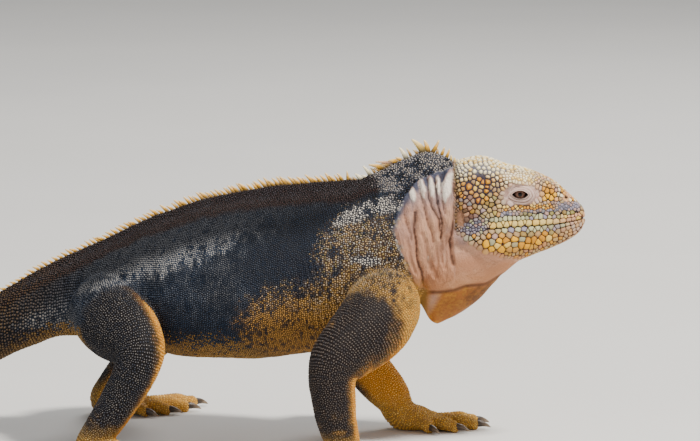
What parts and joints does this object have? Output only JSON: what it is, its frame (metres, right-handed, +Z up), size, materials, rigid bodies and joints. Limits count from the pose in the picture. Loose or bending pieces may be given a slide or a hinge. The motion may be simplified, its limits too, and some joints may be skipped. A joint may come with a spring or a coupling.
{
  "type": "galapagos land iguana",
  "caption": "Life-size still model of a Galapagos land iguana, standing high on its front legs with its tail laid on the floor.",
  "frame": {"origin": "middle of the bounding box in X and Y, on the floor that the animal stands on", "axes": "+X the way the head faces, +Y the animal's left side, +Z up"},
  "size_m": [0.9274, 0.3618, 0.2591],
  "materials": {
    "body_scales": "matt, finely scaled, charcoal with dusty grey, mustard and cream speckles",
    "head_scales": "knobbly scales, cream and ochre over dark grey skin, slightly satin",
    "neck_skin": "loose folded skin, pinkish beige with dark grooves, matt",
    "throat_skin": "soft pouch of orange-brown skin, matt",
    "limb_scales": "small scales, orange-brown with pale dots, matt",
    "claw": "dark horn, satin",
    "eye": "dark red-brown, wet gloss"
  },
  "bodies": {
    "root": {"head": "head_scales", "eye_left": "eye", "eye_right": "eye", "throat_pouch": "throat_skin", "neck": "neck_skin", "torso": "body_scales", "tail_1": "body_scales", "tail_2": "body_scales", "tail_3": "body_scales", "tail_4": "body_scales", "right_upper_arm": "body_scales", "right_forearm": "limb_scales", "right_hand": "limb_scales", "right_hand_claw_first": "claw", "right_hand_claw_second": "claw", "right_hand_claw_third": "claw", "right_hand_claw_fourth": "claw", "right_hand_claw_fifth": "claw", "left_upper_arm": "body_scales", "left_forearm": "limb_scales", "left_hand": "limb_scales", "left_hand_claw_first": "claw", "left_hand_claw_second": "claw", "left_hand_claw_third": "claw", "left_hand_claw_fourth": "claw", "left_hand_claw_fifth": "claw", "right_thigh": "body_scales", "right_shin": "limb_scales", "right_foot": "limb_scales", "right_foot_claw_first": "claw", "right_foot_claw_second": "claw", "right_foot_claw_third": "claw", "right_foot_claw_fourth": "claw", "right_foot_claw_fifth": "claw", "left_thigh": "body_scales", "left_shin": "limb_scales", "left_foot": "limb_scales", "left_foot_claw_first": "claw", "left_foot_claw_second": "claw", "left_foot_claw_third": "claw", "left_foot_claw_fourth": "claw", "left_foot_claw_fifth": "claw"}
  },
  "joints": []
}
